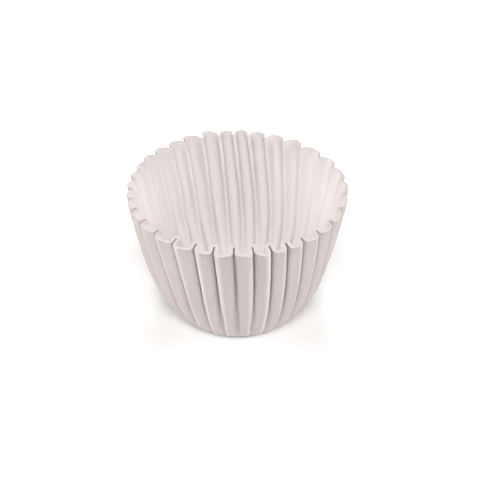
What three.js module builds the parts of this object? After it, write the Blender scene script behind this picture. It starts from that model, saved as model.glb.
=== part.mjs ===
// A fluted paper candy cup, pressed from one flat round blank.
// Millimetres, +Z up, origin at the middle of the base, on the surface the cup stands on.
import * as THREE from "three";

// Sizes of the blank and of the cup pressed from it
const paperThickness = 0.12;
const baseRadius = 10.9; // flat disc, out to where the paper starts to turn up
const wallLength = 27.6; // along the paper, from the flat disc to the cut edge
const fluteCount = 33;

// How the wall stands: its rise from level where it leaves the base and up at the cut edge, in degrees,
// and the stretch of paper over which it turns from the one to the other
const riseAtBase = 27;
const riseAtRim = 81;
const turnStretch = 4.6;

// Shares of one flute's paper, counted from the crest of the outward lobe to the inward fold:
// the lobe's level face, the end of its rounded shoulder, and the tight inward fold
const lobeFace = 0.05;
const lobeShoulder = 0.27;
const inwardFold = 0.09;

// Uneven spacing of the flutes at the cut edge, as the cup stands open after handling.
// Each wave pushes the flutes along by up to reach degrees, waves times round the cup.
const firstCrest = 3.1; // degrees from +X to the crest of the first lobe
const crowding = [
  { waves: 1, reach: 6.4, start: 13 },
  { waves: 2, reach: 3.0, start: -55 },
  { waves: 3, reach: 2.1, start: 13 },
];
const crowdingRise = 1.5; // power of the height by which the spacing goes from even to uneven

// How finely the paper is drawn
const fluteStations = [0, 0.1, 0.22, 0.38, 0.5, 0.62, 0.78, 0.9]; // shares of one flute
const wallStations = [0.025, 0.07, 0.13, 0.21, 0.32, 0.46, 0.62, 0.8, 1]; // shares of the wall's length
const stepsPerStation = 8; // small steps summed between two stations
const sectionSteps = 48; // samples round half a flute

const turn = 2 * Math.PI;
const radians = THREE.MathUtils.degToRad;

// Direction of the paper across a flute as a share of its steepest lean: level on the lobe's face,
// full lean on the side wall, and turning back round the inward fold.
function leanShare(share) {
  const fromCrest = share % 1;
  const side = fromCrest <= 0.5 ? 1 : -1;
  const half = side > 0 ? fromCrest : 1 - fromCrest;
  const shoulder = THREE.MathUtils.smoothstep(half, lobeFace, lobeShoulder);
  const fold = THREE.MathUtils.smoothstep(0.5 - half, 0, inwardFold);
  return side * Math.min(shoulder, fold);
}

// Mean of the cosine of the paper's direction: how much of its length a flute spans at a given lean.
function spanAtLean(lean) {
  let sum = 0;
  for (let i = 0; i < sectionSteps; i++) {
    sum += Math.cos(lean * leanShare((0.5 * (i + 0.5)) / sectionSteps));
  }
  return sum / sectionSteps;
}

// The lean that lets a flute's paper fit its pitch. The paper doesn't stretch, so a narrow pitch
// stands its side walls up, and a pitch as wide as the paper leaves it flat.
function leanForSpan(span) {
  let low = 0;
  let high = 0.75 * Math.PI;
  for (let i = 0; i < 30; i++) {
    const middle = (low + high) / 2;
    if (spanAtLean(middle) > span) low = middle;
    else high = middle;
  }
  return low;
}

// Place on the flute's section for a length of paper that spans the given share of itself:
// along is measured round the cup from an even spread, out is measured from the mean wall.
function sectionPoint(share, paper, span) {
  const lean = leanForSpan(Math.min(span, 1));
  const steps = 2 * sectionSteps;
  let along = 0;
  let out = 0;
  let depth = 0;
  for (let i = 0; i < steps; i++) {
    const from = i / steps;
    const piece = Math.min(Math.max(share - from, 0), 1 / steps);
    const direction = lean * leanShare(from + 0.5 / steps);
    along += piece * Math.cos(direction);
    out -= piece * Math.sin(direction);
    if (from < 0.5) depth += Math.sin(direction) / steps;
  }
  return {
    along: paper * (along - share * spanAtLean(lean)),
    out: paper * (out + depth / 2),
  };
}

// Angle round the cup of a place on the blank, and how far the flutes there are spread or crowded.
function spacingAt(around, height) {
  const share = Math.pow(height / wallLength, crowdingRise);
  let angle = turn * around + radians(firstCrest);
  let spread = 1;
  for (const { waves, reach, start } of crowding) {
    const phase = turn * waves * around + radians(start);
    angle += share * radians(reach) * Math.sin(phase);
    spread += share * radians(reach) * waves * Math.cos(phase);
  }
  return { angle, spread };
}

// Rise of the mean wall from level, at a length of paper up from the base.
function riseAt(length) {
  return radians(riseAtRim - (riseAtRim - riseAtBase) * Math.exp(-length / turnStretch));
}

// One line of the paper from the flat disc to the cut edge, as points at the wall's stations.
// The line keeps its length, so what it spends on leaning and crowding it loses in height.
function wallLine(around) {
  const line = [];
  let length = 0;
  let meanRadius = baseRadius;
  let height = paperThickness / 2;
  let last = { radius: baseRadius, angle: turn * around + radians(firstCrest) };
  for (const station of wallStations) {
    const step = (station * wallLength - length) / stepsPerStation;
    for (let i = 0; i < stepsPerStation; i++) {
      meanRadius += step * Math.cos(riseAt(length + step / 2));
      length += step;
      const paper = (turn * (baseRadius + length)) / fluteCount;
      const { angle, spread } = spacingAt(around, length);
      const pitch = (turn * meanRadius * spread) / fluteCount;
      const place = sectionPoint((around * fluteCount) % 1, paper, pitch / paper);
      const next = {
        radius: meanRadius + place.out,
        angle: angle + place.along / meanRadius,
      };
      const outwards = next.radius - last.radius;
      const sideways = next.radius * (next.angle - last.angle);
      height += Math.sqrt(Math.max(step * step - outwards * outwards - sideways * sideways, 0));
      last = next;
    }
    line.push(
      new THREE.Vector3(
        last.radius * Math.cos(last.angle),
        last.radius * Math.sin(last.angle),
        height,
      ),
    );
  }
  return line;
}

// The middle of the paper as a grid: one row of points round the edge of the flat disc,
// then one for each station up the wall.
function paperGrid() {
  const columns = [];
  for (let flute = 0; flute < fluteCount; flute++) {
    for (const station of fluteStations) {
      const around = (flute + station) / fluteCount;
      const angle = turn * around + radians(firstCrest);
      const foot = new THREE.Vector3(
        baseRadius * Math.cos(angle),
        baseRadius * Math.sin(angle),
        paperThickness / 2,
      );
      columns.push([foot, ...wallLine(around)]);
    }
  }
  return columns;
}

// Outward normal of the paper at a point of the grid. On the flat disc it points straight down.
function paperNormal(columns, column, row) {
  if (row === 0) return new THREE.Vector3(0, 0, -1);
  const count = columns.length;
  const points = columns[column];
  const before = columns[(column + count - 1) % count][row];
  const after = columns[(column + 1) % count][row];
  const round = new THREE.Vector3().subVectors(after, before);
  const up = new THREE.Vector3().subVectors(points[Math.min(row + 1, points.length - 1)], points[row - 1]);
  return round.cross(up).normalize();
}

// The cup is a lathed shell with one segment for each column of the grid. Its profile runs from the
// middle of the underside out and up the outer face, over the cut edge, and back down the inner face.
function cupGeometry() {
  const columns = paperGrid();
  const rows = columns[0].length;
  const outer = Array.from({ length: rows }, (_, row) => ({ row, side: 1 }));
  const inner = [...outer].reverse().map(({ row }) => ({ row, side: -1 }));
  const profile = [...outer, ...inner];
  const outline = [
    new THREE.Vector2(0, 0),
    ...profile.map(({ row, side }) => new THREE.Vector2(baseRadius + row, row * side)),
    new THREE.Vector2(0, paperThickness),
  ];
  const geometry = new THREE.LatheGeometry(outline, columns.length);
  const position = geometry.getAttribute("position");
  for (let segment = 0; segment <= columns.length; segment++) {
    const column = segment % columns.length;
    for (let i = 0; i < profile.length; i++) {
      const { row, side } = profile[i];
      const point = columns[column][row].clone();
      point.addScaledVector(paperNormal(columns, column, row), (side * paperThickness) / 2);
      position.setXYZ(segment * outline.length + i + 1, point.x, point.y, point.z);
    }
    const floor = segment * outline.length;
    position.setXYZ(floor, 0, 0, 0);
    position.setXYZ(floor + outline.length - 1, 0, 0, paperThickness);
  }
  geometry.computeVertexNormals();
  return geometry;
}

const paper = new THREE.MeshStandardMaterial({
  color: new THREE.Color(0.86, 0.8, 0.78),
  roughness: 0.9,
  metalness: 0,
});

const cup = new THREE.Group();
const candyCup = new THREE.Mesh(cupGeometry(), paper);
candyCup.name = "candy_cup";
cup.add(candyCup);

export default cup;
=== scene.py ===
import math

import bpy
import numpy as np
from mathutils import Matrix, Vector, noise


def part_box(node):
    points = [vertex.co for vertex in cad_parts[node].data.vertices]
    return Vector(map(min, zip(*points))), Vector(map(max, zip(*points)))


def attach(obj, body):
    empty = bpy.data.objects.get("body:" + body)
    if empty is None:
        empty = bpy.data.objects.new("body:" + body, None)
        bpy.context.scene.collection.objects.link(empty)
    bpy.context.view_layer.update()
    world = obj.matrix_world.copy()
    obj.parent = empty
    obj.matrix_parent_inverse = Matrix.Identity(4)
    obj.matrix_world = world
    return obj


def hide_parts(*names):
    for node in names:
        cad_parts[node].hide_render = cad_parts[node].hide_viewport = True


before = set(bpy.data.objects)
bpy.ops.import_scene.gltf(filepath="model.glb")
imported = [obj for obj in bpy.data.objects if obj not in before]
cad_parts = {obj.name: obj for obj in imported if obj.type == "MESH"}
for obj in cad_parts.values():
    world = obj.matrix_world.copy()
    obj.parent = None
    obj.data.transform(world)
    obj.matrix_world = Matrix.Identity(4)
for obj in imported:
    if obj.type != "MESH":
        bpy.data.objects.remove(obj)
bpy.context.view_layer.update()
cupLow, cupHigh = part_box("candy_cup")
cupSize = [round(v, 4) for v in cupHigh - cupLow]
print("stage 1: frame loaded, nodes", len(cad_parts), "cup", cupSize)

turn = 2 * math.pi


# Small helpers

def deselectAll():
    if bpy.context.object and bpy.context.object.mode != "OBJECT":
        bpy.ops.object.mode_set(mode="OBJECT")
    bpy.ops.object.select_all(action="DESELECT")


def takeNew(name):
    # what was just added, under its own name
    piece = bpy.context.object
    piece.name = name
    piece.data.name = name
    return piece


def applyAll(piece):
    # leaves the piece selected
    deselectAll()
    piece.select_set(True)
    bpy.context.view_layer.objects.active = piece
    bpy.ops.object.transform_apply(location=True, rotation=True, scale=True)
    for modifier in list(piece.modifiers):
        bpy.ops.object.modifier_apply(modifier=modifier.name)


def aim(obj, target):
    obj.rotation_euler = (Vector(target) - obj.location).to_track_quat("-Z", "Y").to_euler()


# Shader maths

class Socket:
    # one output of a node, so that shader maths can be written as an expression
    def __init__(self, nodes, output):
        self.nodes = nodes
        self.output = output

    def maths(self, operation, first, second):
        return self.nodes.node("ShaderNodeMath", {"operation": operation}, {0: first, 1: second})

    def __add__(self, other):
        return self.maths("ADD", self, other)

    def __radd__(self, other):
        return self.maths("ADD", other, self)

    def __sub__(self, other):
        return self.maths("SUBTRACT", self, other)

    def __rsub__(self, other):
        return self.maths("SUBTRACT", other, self)

    def __mul__(self, other):
        return self.maths("MULTIPLY", self, other)

    def __rmul__(self, other):
        return self.maths("MULTIPLY", other, self)


class Shader:
    def __init__(self, name):
        self.material = bpy.data.materials.new(name)
        self.material.use_nodes = True
        self.tree = self.material.node_tree
        self.surface = self.tree.nodes["Principled BSDF"]

    def put(self, socket, value):
        # a number, a colour or a link
        if isinstance(value, Socket):
            self.tree.links.new(value.output, socket)
        else:
            socket.default_value = value

    def node(self, kind, settings=None, inputs=None, output=0):
        made = self.tree.nodes.new(kind)
        for key, value in (settings or {}).items():
            setattr(made, key, value)
        for key, value in (inputs or {}).items():
            self.put(made.inputs[key], value)
        return Socket(self, made.outputs[output])

    def blend(self, share, low, high):
        # a colour between two others
        inputs = {"Factor": share, "A": low, "B": high}
        return self.node("ShaderNodeMix", {"data_type": "RGBA"}, inputs, output="Result")

    def dress(self, values):
        for name, value in values.items():
            self.put(self.surface.inputs[name], value)


# The camera stands where the photograph was taken from

view = {
    "rimHeight": 0.02535,
    "distance": 0.514,  # from the middle of the rim
    "elevation": 35.07,  # of the line to the middle of the rim
    "lens": 210,
    "sensor": 36,
    "imageWidth": 480,  # pixels, as are the next two
    "rimRight": -2.6,  # from the image's centre to the middle of the rim
    "rimUp": 49.1,
    "nearest": 0.01,
    "farthest": 10,
}


def makeCamera():
    deselectAll()
    rise = math.radians(view["elevation"])
    rim = Vector((0, 0, view["rimHeight"]))
    back = Vector((0, -math.cos(rise), math.sin(rise)))
    bpy.ops.object.camera_add(location=rim + back * view["distance"])
    camera = takeNew("photo_camera")
    # the image's centre lies below and beside the rim
    pixel = view["distance"] * view["sensor"] / view["lens"] / view["imageWidth"]
    up = Vector((0, math.sin(rise), math.cos(rise)))
    right = Vector((1, 0, 0))
    aim(camera, rim - (up * view["rimUp"] + right * view["rimRight"]) * pixel)
    camera.data.lens = view["lens"]
    camera.data.sensor_width = view["sensor"]
    camera.data.clip_start = view["nearest"]
    camera.data.clip_end = view["farthest"]
    bpy.context.scene.camera = camera


makeCamera()
print("stage 2: camera")


# The paper: matt and uncoated, with a faint cloud of fibres

paperLook = {
    # the faces are copies of one paper in three tones: the outer face is much darker than the
    # inner, painted shade for the outside, and the cut edge lies between them
    "outer": {
        "light": (0.49, 0.452, 0.442, 1),
        "dark": (0.455, 0.417, 0.407, 1),
        "lightThrough": 0.7,  # share of the light that spreads in the paper
    },
    "inner": {
        "light": (0.88, 0.857, 0.853, 1),
        "dark": (0.85, 0.827, 0.82, 1),
        "lightThrough": 0.0,
    },
    "edge": {
        "light": (0.68, 0.645, 0.635, 1),
        "dark": (0.64, 0.605, 0.595, 1),
        "lightThrough": 0.0,
    },
    "lightReach": (0.0011, 0.0011, 0.0011),
    "paintedHighlight": (0.69, 0.645, 0.63, 1),  # painted highlight: a paler tone outside, on the pressed-back shoulder of a lobe's outer side in front
    "paintedDeepShade": (0.78, 0.76, 0.755, 1),  # painted shade: the inside is darker low down, where less light comes through
    "paintedDeepShadeReach": (0.002, 0.020),
    "cloud": {"size": 0.0022, "detail": 3, "roughness": 0.6},
    "fibre": {"size": 0.00025, "detail": 2, "roughness": 0.5},
    "cloudShare": 0.6,  # of the tone, and the fibres have the rest
    "fibreHeight": 0.000006,
    "roughness": 0.85,
    "specular": 0.2,
}


def grain(paper, place, name):
    look = paperLook[name]
    inputs = {
        "Vector": place,
        "Scale": 1 / look["size"],
        "Detail": look["detail"],
        "Roughness": look["roughness"],
    }
    return paper.node("ShaderNodeTexNoise", inputs=inputs)


def makePaper(face):
    paper = Shader("candy_cup_paper_" + face)
    look = paperLook[face]
    place = paper.node("ShaderNodeTexCoord", output="Object")
    cloud = grain(paper, place, "cloud")
    fibre = grain(paper, place, "fibre")
    share = paperLook["cloudShare"]
    tone = paper.blend(share * cloud + (1 - share) * fibre, look["dark"], look["light"])
    # painted shade: the inner face darkens towards the cup's floor
    if face == "inner":
        height = paper.node("ShaderNodeSeparateXYZ", inputs={"Vector": place}, output="Z")
        low, high = paperLook["paintedDeepShadeReach"]
        clearOfPaintedShade = paper.node(
            "ShaderNodeMapRange",
            {"interpolation_type": "SMOOTHSTEP"},
            {"Value": height, "From Min": low, "From Max": high},
        )
        tone = paper.blend(clearOfPaintedShade, paperLook["paintedDeepShade"], tone)
    # painted highlight: the outer face is paler where the point attribute says
    if face == "outer":
        paintedHighlight = paper.node("ShaderNodeAttribute", {"attribute_name": "paintedHighlight"}, output="Fac")
        tone = paper.blend(paintedHighlight, tone, paperLook["paintedHighlight"])
    bump = paper.node(
        "ShaderNodeBump",
        inputs={"Height": fibre, "Distance": paperLook["fibreHeight"], "Strength": 1},
    )
    paper.dress({
        "Base Color": tone,
        "Normal": bump,
        "Roughness": paperLook["roughness"],
        "Specular IOR Level": paperLook["specular"],
        "Subsurface Weight": look["lightThrough"],
        "Subsurface Radius": paperLook["lightReach"],
        "Subsurface Scale": 1.0,
    })
    return paper.material


# The cup: a flat blank in rings, pressed into flutes, then given the paper's thickness

cup = {
    "paper": 0.00014,
    "cutEdge": 0.00072,  # the soft cut edge is thicker than the sheet, most in front
    "farCutEdge": 0.00024,
    "cutEdgeReach": 0.0009,
    "baseRadius": 0.0109,  # flat disc, out to where the paper starts to turn up
    "wallLength": 0.0276,  # along the paper, from the disc to the cut edge
    "flutes": 33,
    "columns": 40,  # across one flute
    "fineColumns": 2001,  # for finding their places
    "faceDensity": 0.55,  # of the columns on a lobe's face, where the folds have 1 more
    "faceReach": (0.08, 0.16),  # shares of a flute from the crest, over which that grows
    "floorRings": (0.6, 0.25),  # shares of the base radius
    "wallRings": 28,  # even ones, below the rim
    "rimRings": (0.0004, 0.0008),  # below the cut edge
    "fineStep": 0.0001,  # up the paper, for working out the wall
    "riseAtBase": 34,  # of the lobes' crests from level
    "riseAtRim": 79,
    "turnStretch": 0.006,  # over which they turn up
    "firstCrest": 3.1,  # from +X to the crest of the first lobe
    "crowding": ((1, 6.4, 13), (2, 3.0, -55), (3, 2.1, 13), (4, 0.6, -136)),  # waves, reach, start
    "crowdingRise": 1.5,  # power of the height
    "smoothAngle": 60,
}

# one fold of the wall: a flat lobe, a round shoulder, a panel going in and a round inward fold
# a pair is for the front and for the far side
folds = {
    "shoulder": (0.00072, 0.00140),  # radius
    "widestShoulder": (0.30, 0.40),  # share of the pitch
    "fold": (0.00016, 0.00026),  # radius
    "foldAtRim": (0.00018, 0.00026),
    "mouth": (0.00008, 0.00080),  # half of the gap between two lobes
    "mouthAtRim": (0.00012, 0.00080),
    "widestHalf": 0.48,  # share of the pitch, for a shoulder with its fold or its mouth
    "rimReach": 0.06,  # share of the wall over which the flutes spring open at the rim
    "roundness": (0.06, 0.05),  # of a lobe's face, as a share of the flute's depth
    "ease": (0.05, 0.0),  # how much longer the pressed paper is at the rim than it was flat
    "easeFrom": 0.2,  # share of the wall's height
    "excess": (0.0019, 0.0014),  # most paper that half a flute takes in
    "excessAtSides": 0.0004,
    "rounds": 3,  # of fitting the pitch to the depth
    "halvings": 20,  # in the search for a fold's lean
    "foldRise": 0.48,  # share of the height that an inward fold gains over the lobes
    "foldRiseReach": 0.75,  # share of the depth
}

# in front, a lobe's outer side stands prouder, and its shoulder is pressed back and given a
# painted highlight
pressedBack = {
    "tilt": 0.12,  # share of the depth
    "tiltTurns": 5,  # how fast that turns from left to right at the middle
    "bevel": 0.06,  # share of the pitch
    "bevelFrom": 0.2,  # share of the wall's height by which it is full
    "bevelReach": (0.38, 0.92),  # from and to, as shares of half the pitch
    "bevelFades": (0.15, 0.9),  # shares of the depth
    # where the painted highlight lies: shares of half the pitch, and shares of the depth over
    # which it fades
    "paintedHighlightReach": (0.15, 0.60),
    "paintedHighlightFades": (0.1, 0.4),
}

handling = {
    "seed": 7,
    "foldWander": 0.00034,  # how far a fold line strays sideways on the paper
    "wanderLength": 0.007,
    "wanderFrom": 0.3,  # share of the wall's height by which it is full
    "crestShift": 0.7,  # degrees, of each flute at the rim
    "farUneven": 0.2,  # of how much a flute is like those on the far side
    "mouthUneven": 0.00005,
    "rimUneven": 0.00012,
    "rimUnevenRise": 4,  # power of the height
    "tilt": 0.10,  # one side of a lobe stands prouder than the other, as a share of the depth
    "wrinkle": 0.000035,
    "wrinkleSize": (0.0024, 0.014),  # across and along the flutes
    "wrinkleNoise": (0.8, 2.0, 3),  # dimension, gap between octaves, octaves
    "wrinkleRings": 4,  # up the wall until the wrinkles are full
}


def smoothRise(value, start, end):
    share = np.clip((value - start) / (end - start), 0, 1)
    return share * share * (3 - 2 * share)


def frontToFar(name, far):
    front, back = folds[name]
    return front + (back - front) * far


def columnShares():
    # places of the columns across a flute, few on the lobe's face
    fine = np.linspace(0, 1, cup["fineColumns"])
    half = np.minimum(fine, 1 - fine)
    density = cup["faceDensity"] + smoothRise(half, *cup["faceReach"])
    total = np.concatenate([[0], np.cumsum((density[1:] + density[:-1]) / 2)])
    return np.interp(np.arange(cup["columns"]) / cup["columns"], total / total[-1], fine)


def ringLengths():
    # distances of the rings up the wall, from the flat disc's edge to the cut edge
    top = cup["wallLength"] - cup["rimRings"][-1]
    even = np.linspace(0, top, cup["wallRings"] + 1)
    below = [cup["wallLength"] - reach for reach in cup["rimRings"][-2::-1]]
    return np.array([*even, *below, cup["wallLength"]])


# The wall is worked out on a grid, columns round the cup by fine steps up the paper

gridLength = np.linspace(0, cup["wallLength"], round(cup["wallLength"] / cup["fineStep"]) + 1)
gridHeight = gridLength / cup["wallLength"]
gridFlute = np.repeat(np.arange(cup["flutes"]), cup["columns"])
gridAcross = np.tile(columnShares(), cup["flutes"])[:, None]


def makeBlank():
    # a circle of the flat disc's edge, extruded out to the cut edge and in to the middle
    deselectAll()
    count = cup["flutes"] * cup["columns"]
    bpy.ops.mesh.primitive_circle_add(
        vertices=count, radius=cup["baseRadius"], fill_type="NOTHING"
    )
    blank = takeNew("fluted_cup")
    bpy.ops.object.mode_set(mode="EDIT")
    bpy.ops.mesh.select_all(action="SELECT")
    radii = cup["baseRadius"] + ringLengths()
    for before, radius in zip(radii[:-1], radii[1:]):
        bpy.ops.mesh.extrude_region_move()
        bpy.ops.transform.resize(value=(radius / before, radius / before, 1))
    bpy.ops.object.mode_set(mode="OBJECT")
    selectRing(blank, cup["baseRadius"])
    bpy.ops.object.mode_set(mode="EDIT")
    before = 1
    for share in cup["floorRings"]:
        bpy.ops.mesh.extrude_region_move()
        bpy.ops.transform.resize(value=(share / before, share / before, 1))
        before = share
    bpy.ops.mesh.extrude_region_move()
    bpy.ops.mesh.merge(type="CENTER")
    bpy.ops.mesh.select_all(action="SELECT")
    bpy.ops.mesh.normals_make_consistent(inside=False)
    bpy.ops.object.mode_set(mode="OBJECT")
    return blank


def selectRing(blank, radius):
    # the vertices and edges of one ring, found by their distance from the middle
    near = ringLengths()[1] / 5  # well short of the next ring
    for vertex in blank.data.vertices:
        vertex.select = abs(vertex.co.xy.length - radius) < near
    for edge in blank.data.edges:
        edge.select = all(blank.data.vertices[i].select for i in edge.vertices)
    for face in blank.data.polygons:
        face.select = False


def drawColumns(blank):
    # turns each column to its place across the flute, and notes where each vertex is:
    # its column, its ring up the wall or -1 on the floor, its flat radius and its angle
    shares = columnShares()
    count = cup["flutes"] * cup["columns"]
    rings = ringLengths()
    notes = []
    for vertex in blank.data.vertices:
        flat = vertex.co.xy.length
        column = round(math.atan2(vertex.co.y, vertex.co.x) / turn * count) % count
        flute, inFlute = divmod(column, cup["columns"])
        angle = turn * (flute + shares[inFlute]) / cup["flutes"]
        vertex.co = (flat * math.cos(angle), flat * math.sin(angle), 0)
        length = flat - cup["baseRadius"]
        ring = int(np.abs(rings - length).argmin()) if length > -rings[1] / 2 else -1
        notes.append((column, ring, flat, angle))
    return notes


def layOutUv(blank):
    # the flat blank itself is the paper's layout
    layer = blank.data.uv_layers.active or blank.data.uv_layers.new(name="UVMap")
    size = 2 * (cup["baseRadius"] + cup["wallLength"])
    for loop in blank.data.loops:
        place = blank.data.vertices[loop.vertex_index].co
        layer.data[loop.index].uv = (0.5 + place.x / size, 0.5 + place.y / size)


def solveFold(excess, shoulder, fold, mouth):
    # how steeply the panel goes in, and its length, so that half a flute holds its excess paper
    reach = shoulder + fold
    closed = math.pi - np.arcsin(np.clip((mouth + shoulder) / reach, 0, 1))
    loose = (mouth < fold) & (excess < reach * (closed - np.sin(closed)))
    low = np.where(loose | (mouth >= fold), 0, math.pi / 2)
    high = closed
    for halving in range(folds["halvings"]):
        lean = (low + high) / 2
        panel = np.where(loose, 0, excess + mouth + shoulder - reach * lean)
        held = reach * (lean - np.sin(lean)) > excess
        narrow = reach * np.sin(lean) + panel * np.cos(lean) < mouth + shoulder
        tooSteep = np.where(loose, held, narrow)
        high = np.where(tooSteep, lean, high)
        low = np.where(tooSteep, low, lean)
    return lean, np.clip(panel, 0, None)


def foldPoint(travel, halfPaper, shoulder, fold, lean, panel):
    # place on the folded paper, across and inwards from the middle of the lobe
    face = halfPaper - (shoulder + fold) * lean - panel
    pastFace = travel - face
    onFace = np.clip(travel, None, face)
    turned = np.clip(pastFace / shoulder, 0, lean)
    onPanel = np.clip(pastFace - shoulder * lean, 0, panel)
    back = lean - np.clip((pastFace - shoulder * lean - panel) / fold, 0, lean)
    across = onFace + shoulder * np.sin(turned) + onPanel * np.cos(lean)
    across = across + fold * (np.sin(lean) - np.sin(back))
    inwards = shoulder * (1 - np.cos(turned)) + onPanel * np.sin(lean)
    inwards = inwards + fold * (np.cos(back) - np.cos(lean))
    return across, inwards


def strayLines(random):
    # one smooth random line up the wall for each fold
    knots = max(int(cup["wallLength"] / handling["wanderLength"]) + 3, 4)
    values = random.normal(0, 1, (cup["flutes"], knots))
    place = gridHeight * (knots - 1)
    lower = np.clip(place.astype(int), 0, knots - 2)
    mix = smoothRise(place - lower, 0, 1)
    lines = values[:, lower] * (1 - mix) + values[:, lower + 1] * mix
    return lines * handling["foldWander"] * smoothRise(gridHeight, 0, handling["wanderFrom"])


def betweenFolds(values):
    # one value or one line up the wall for each flute, blended across to the next flute's
    lines = values.reshape(len(values), -1)
    following = np.roll(lines, -1, axis=0)
    return lines[gridFlute] * (1 - gridAcross) + following[gridFlute] * gridAcross


def crowdFlutes(random):
    # angles of the columns, and how far apart the flutes stand as they crowd towards the rim
    around = (gridFlute[:, None] + gridAcross) / cup["flutes"]
    push = random.normal(0, 1, cup["flutes"]) * math.radians(handling["crestShift"])
    slope = (np.roll(push, -1) - push)[gridFlute, None] * cup["flutes"] / turn
    rise = gridHeight ** cup["crowdingRise"]
    angle = turn * around + math.radians(cup["firstCrest"]) + rise * betweenFolds(push)
    spread = 1 + rise * slope
    for waves, reach, start in cup["crowding"]:
        phase = turn * waves * around + math.radians(start)
        angle = angle + rise * math.radians(reach) * np.sin(phase)
        spread = spread + rise * math.radians(reach) * waves * np.cos(phase)
    return angle, spread


def crestLine():
    # radius of the lobes' crests, which turn up from the disc to the rim
    turning = (cup["riseAtRim"] - cup["riseAtBase"]) * np.exp(-gridLength / cup["turnStretch"])
    climbing = np.radians(cup["riseAtRim"] - turning)
    slope = (climbing[1:] + climbing[:-1]) / 2
    return cup["baseRadius"] + np.concatenate([[0], np.cumsum(np.cos(slope)) * gridLength[1]])


def sizeFolds(random, angle, spread, crestRadius):
    # what the narrower pitch can't hold of the flat paper goes into the flutes' depth
    byChance = handling["farUneven"]
    far = (1 - byChance) * (0.5 + 0.5 * np.sin(angle[:, :1]))
    far = far + betweenFolds(random.uniform(0, byChance, cup["flutes"]))
    ease = frontToFar("ease", far) * smoothRise(gridHeight, folds["easeFrom"], 1)
    paper = turn * (cup["baseRadius"] + gridLength) / cup["flutes"] * (1 + ease)
    most = frontToFar("excess", far)
    most = most + (folds["excessAtSides"] - most) * np.cos(angle[:, :1]) ** 2
    opening = smoothRise(gridHeight, 1 - folds["rimReach"], 1)
    wanted = {}
    for name in ("fold", "mouth"):
        below, atRim = frontToFar(name, far), frontToFar(name + "AtRim", far)
        wanted[name] = below + (atRim - below) * opening
    uneven = betweenFolds(random.uniform(-1, 1, cup["flutes"])) * handling["mouthUneven"]
    wanted["mouth"] = wanted["mouth"] + uneven
    depth = 0
    for attempt in range(folds["rounds"]):
        pitch = turn * (crestRadius - depth / 2) * spread / cup["flutes"]
        excess = np.clip((paper - pitch) / 2, 0, most)
        widest = frontToFar("widestShoulder", far) * pitch
        shoulder = np.minimum(frontToFar("shoulder", far), widest)
        room = folds["widestHalf"] * pitch - shoulder
        fold = np.minimum(wanted["fold"], room)
        lean, panel = solveFold(excess, shoulder, fold, np.minimum(wanted["mouth"], room))
        halfPaper = pitch / 2 + excess
        section = (halfPaper, shoulder, fold, lean, panel)
        depth = foldPoint(halfPaper, *section)[1]
    return paper, pitch, depth, frontToFar("roundness", far), section


def pressBack(angle, pitch, half, side, inShare):
    # how far each column leans and is pressed back, in front, and how much painted highlight it
    # gets
    turned = np.clip(pressedBack["tiltTurns"] * np.cos(angle), -1, 1)
    turned = turned * np.clip(-np.sin(angle), 0, 1)
    outer = np.clip(side * turned, 0, 1)
    start, end = pressedBack["bevelReach"]
    bevel = pressedBack["bevel"] * pitch * np.clip((half - start) / (end - start), 0, 1)
    bevel = bevel * outer * smoothRise(gridHeight, 0, pressedBack["bevelFrom"])
    bevel = bevel * (1 - smoothRise(inShare, *pressedBack["bevelFades"]))
    # painted highlight on the outward shoulders in front
    paintedHighlight = outer * smoothRise(half, *pressedBack["paintedHighlightReach"])
    paintedHighlight = paintedHighlight * (1 - smoothRise(inShare, *pressedBack["paintedHighlightFades"]))
    return pressedBack["tilt"] * turned, bevel, paintedHighlight


def climbWall(random, radius, angle, inShare):
    # the paper's length fixes how far it climbs with each step up the wall
    step = gridLength[1]
    outwards = np.diff(radius, axis=1)
    sideways = (radius[:, 1:] + radius[:, :-1]) / 2 * np.diff(angle, axis=1)
    climb = np.sqrt(np.clip(step * step - outwards ** 2 - sideways ** 2, 0, None))
    up = np.concatenate([np.zeros((len(radius), 1)), np.cumsum(climb, axis=1)], axis=1)
    crest = betweenFolds(up[::cup["columns"]])
    inFold = up[cup["columns"] // 2::cup["columns"]][gridFlute]
    inside = smoothRise(inShare, 0, folds["foldRiseReach"])
    up = crest + (inFold - crest) * folds["foldRise"] * inside
    uneven = betweenFolds(random.normal(0, 1, cup["flutes"]) * handling["rimUneven"])
    return up + uneven * gridHeight ** handling["rimUnevenRise"]


def pressWall():
    # every point of the wall's paper, as columns round the cup by rings up the wall, and how much
    # painted highlight lies there
    random = np.random.default_rng(handling["seed"])
    stray = betweenFolds(strayLines(random))
    angle, spread = crowdFlutes(random)
    crestRadius = crestLine()
    paper, pitch, depth, roundness, section = sizeFolds(random, angle, spread, crestRadius)

    # place across the flute and inwards from the lobe's face
    strayed = gridAcross + stray / paper
    share = strayed % 1
    side = np.where(share <= 0.5, 1, -1)
    along, inwards = foldPoint(np.minimum(share, 1 - share) * 2 * section[0], *section)
    inShare = inwards / np.maximum(depth, cup["paper"])
    arch = (0.5 - 0.5 * np.cos(turn * along / pitch)) * roundness * depth
    tilt = betweenFolds(random.normal(0, 1, cup["flutes"]) * handling["tilt"])
    outward, bevel, paintedHighlight = pressBack(angle, pitch, 2 * along / pitch, side, inShare)
    tilt = tilt + outward
    radius = crestRadius - inwards - arch - bevel + tilt * depth * np.sin(turn * share)

    along = side * along + (np.round(strayed) - gridAcross) * pitch
    angle = angle + along / (crestRadius - depth / 2)
    up = climbWall(random, radius, angle, inShare)
    points = np.stack([radius * np.cos(angle), radius * np.sin(angle), up], axis=2)
    rings = np.round(ringLengths() / gridLength[1]).astype(int)
    return points[:, rings], paintedHighlight[:, rings]


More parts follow.
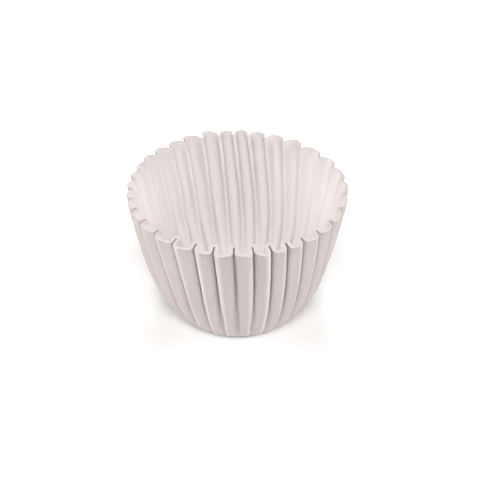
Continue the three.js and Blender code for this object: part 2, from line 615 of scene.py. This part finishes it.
def pressFlutes(blank, notes):
    # moves each vertex of the flat blank to its place on the pressed cup
    points, paintedHighlight = pressWall()
    turned = math.radians(cup["firstCrest"])
    # the painted highlight is kept as a point attribute for the outer face's colour
    paintedHighlightLayer = blank.data.attributes.new("paintedHighlight", "FLOAT", "POINT")
    for vertex, (column, ring, flat, angle) in zip(blank.data.vertices, notes):
        if ring < 0:
            vertex.co = (flat * math.cos(angle + turned), flat * math.sin(angle + turned), 0)
        else:
            vertex.co = points[column, ring]
            paintedHighlightLayer.data[vertex.index].value = paintedHighlight[column, ring]


def wrinkle(blank, notes):
    # fine wrinkles in the paper, long up the wall and short across it
    blank.data.update()
    across, along = handling["wrinkleSize"]
    moves = []
    for vertex, (column, ring, flat, angle) in zip(blank.data.vertices, notes):
        x, y = flat * math.cos(angle), flat * math.sin(angle)
        place = Vector((x / across, y / across, flat / along))
        rough = noise.fractal(place, *handling["wrinkleNoise"])
        strength = handling["wrinkle"] * min(max(ring, 0) / handling["wrinkleRings"], 1)
        moves.append(vertex.normal * rough * strength)
    for vertex, move in zip(blank.data.vertices, moves):
        vertex.co = vertex.co + move


def giveThickness(blank, notes):
    # a thin sheet with a soft cut edge
    sheet = blank.vertex_groups.new(name="sheet")
    rim = cup["baseRadius"] + cup["wallLength"]
    for vertex, (column, ring, flat, angle) in zip(blank.data.vertices, notes):
        atEdge = max(1 - (rim - flat) / cup["cutEdgeReach"], 0) ** 2
        near = max(-math.sin(angle), 0) ** 2
        edge = cup["farCutEdge"] + (cup["cutEdge"] - cup["farCutEdge"]) * near
        here = cup["paper"] + (edge - cup["paper"]) * atEdge
        sheet.add([vertex.index], here / cup["cutEdge"], "REPLACE")
    thicken = blank.modifiers.new("Thickness", "SOLIDIFY")
    thicken.thickness = cup["cutEdge"]
    thicken.vertex_group = "sheet"
    thicken.offset = 1  # towards the cup's inner side
    thicken.material_offset = 1
    thicken.material_offset_rim = 2
    applyAll(blank)


def makeCup():
    blank = makeBlank()
    for face in ("inner", "outer", "edge"):
        blank.data.materials.append(makePaper(face))
    notes = drawColumns(blank)
    layOutUv(blank)
    pressFlutes(blank, notes)
    wrinkle(blank, notes)
    giveThickness(blank, notes)
    bpy.ops.object.shade_smooth_by_angle(angle=math.radians(cup["smoothAngle"]))
    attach(blank, "root")
    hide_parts("candy_cup")
    return blank


candyCup = makeCup()
print("stage 3: cup,", len(candyCup.data.polygons), "faces")


# Pale floor and soft studio light

studio = {
    "floor": 3.0,
    "floorColour": (0.96, 0.985, 0.99, 1),
    "floorGlow": 0.12,  # the white floor is lit a little from beneath
    "light": (1.0, 0.95, 0.935),  # a warm, slightly rosy studio light
    "worldStrength": 0.02,
    "aimedAt": (0, 0, 0.012),
    "front": {"place": (0, -0.60, 0.70), "size": 0.4, "power": 5.6},
    "back": {"place": (0, 0.45, 0.8), "size": 0.4, "power": 3.6},
    "left": {"place": (-0.84, -0.10, 0.42), "size": 0.4, "power": 3.6},
    "right": {"place": (0.84, -0.10, 0.42), "size": 0.4, "power": 3.6},
}


def makeFloor():
    deselectAll()
    bpy.ops.mesh.primitive_plane_add(size=studio["floor"])
    floor = takeNew("studio_floor")
    look = Shader("studio_floor")
    look.dress({
        "Base Color": studio["floorColour"],
        "Roughness": 1.0,
        "Specular IOR Level": 0.0,
        "Emission Color": studio["floorColour"],
        "Emission Strength": studio["floorGlow"],
    })
    floor.data.materials.append(look.material)


def makeSoftbox(name):
    box = studio[name]
    deselectAll()
    bpy.ops.object.light_add(type="AREA", location=box["place"])
    lamp = takeNew("softbox_" + name)
    lamp.data.size = box["size"]
    lamp.data.energy = box["power"]
    lamp.data.color = studio["light"]
    aim(lamp, studio["aimedAt"])


def makeWorld():
    world = bpy.data.worlds.new("studio")
    world.use_nodes = True
    sky = world.node_tree.nodes["Background"]
    sky.inputs["Color"].default_value = (*studio["light"], 1)
    sky.inputs["Strength"].default_value = studio["worldStrength"]
    bpy.context.scene.world = world


makeFloor()
for name in ("front", "back", "left", "right"):
    makeSoftbox(name)
makeWorld()
bpy.context.scene.view_settings.view_transform = "Standard"
print("stage 4: floor and light")
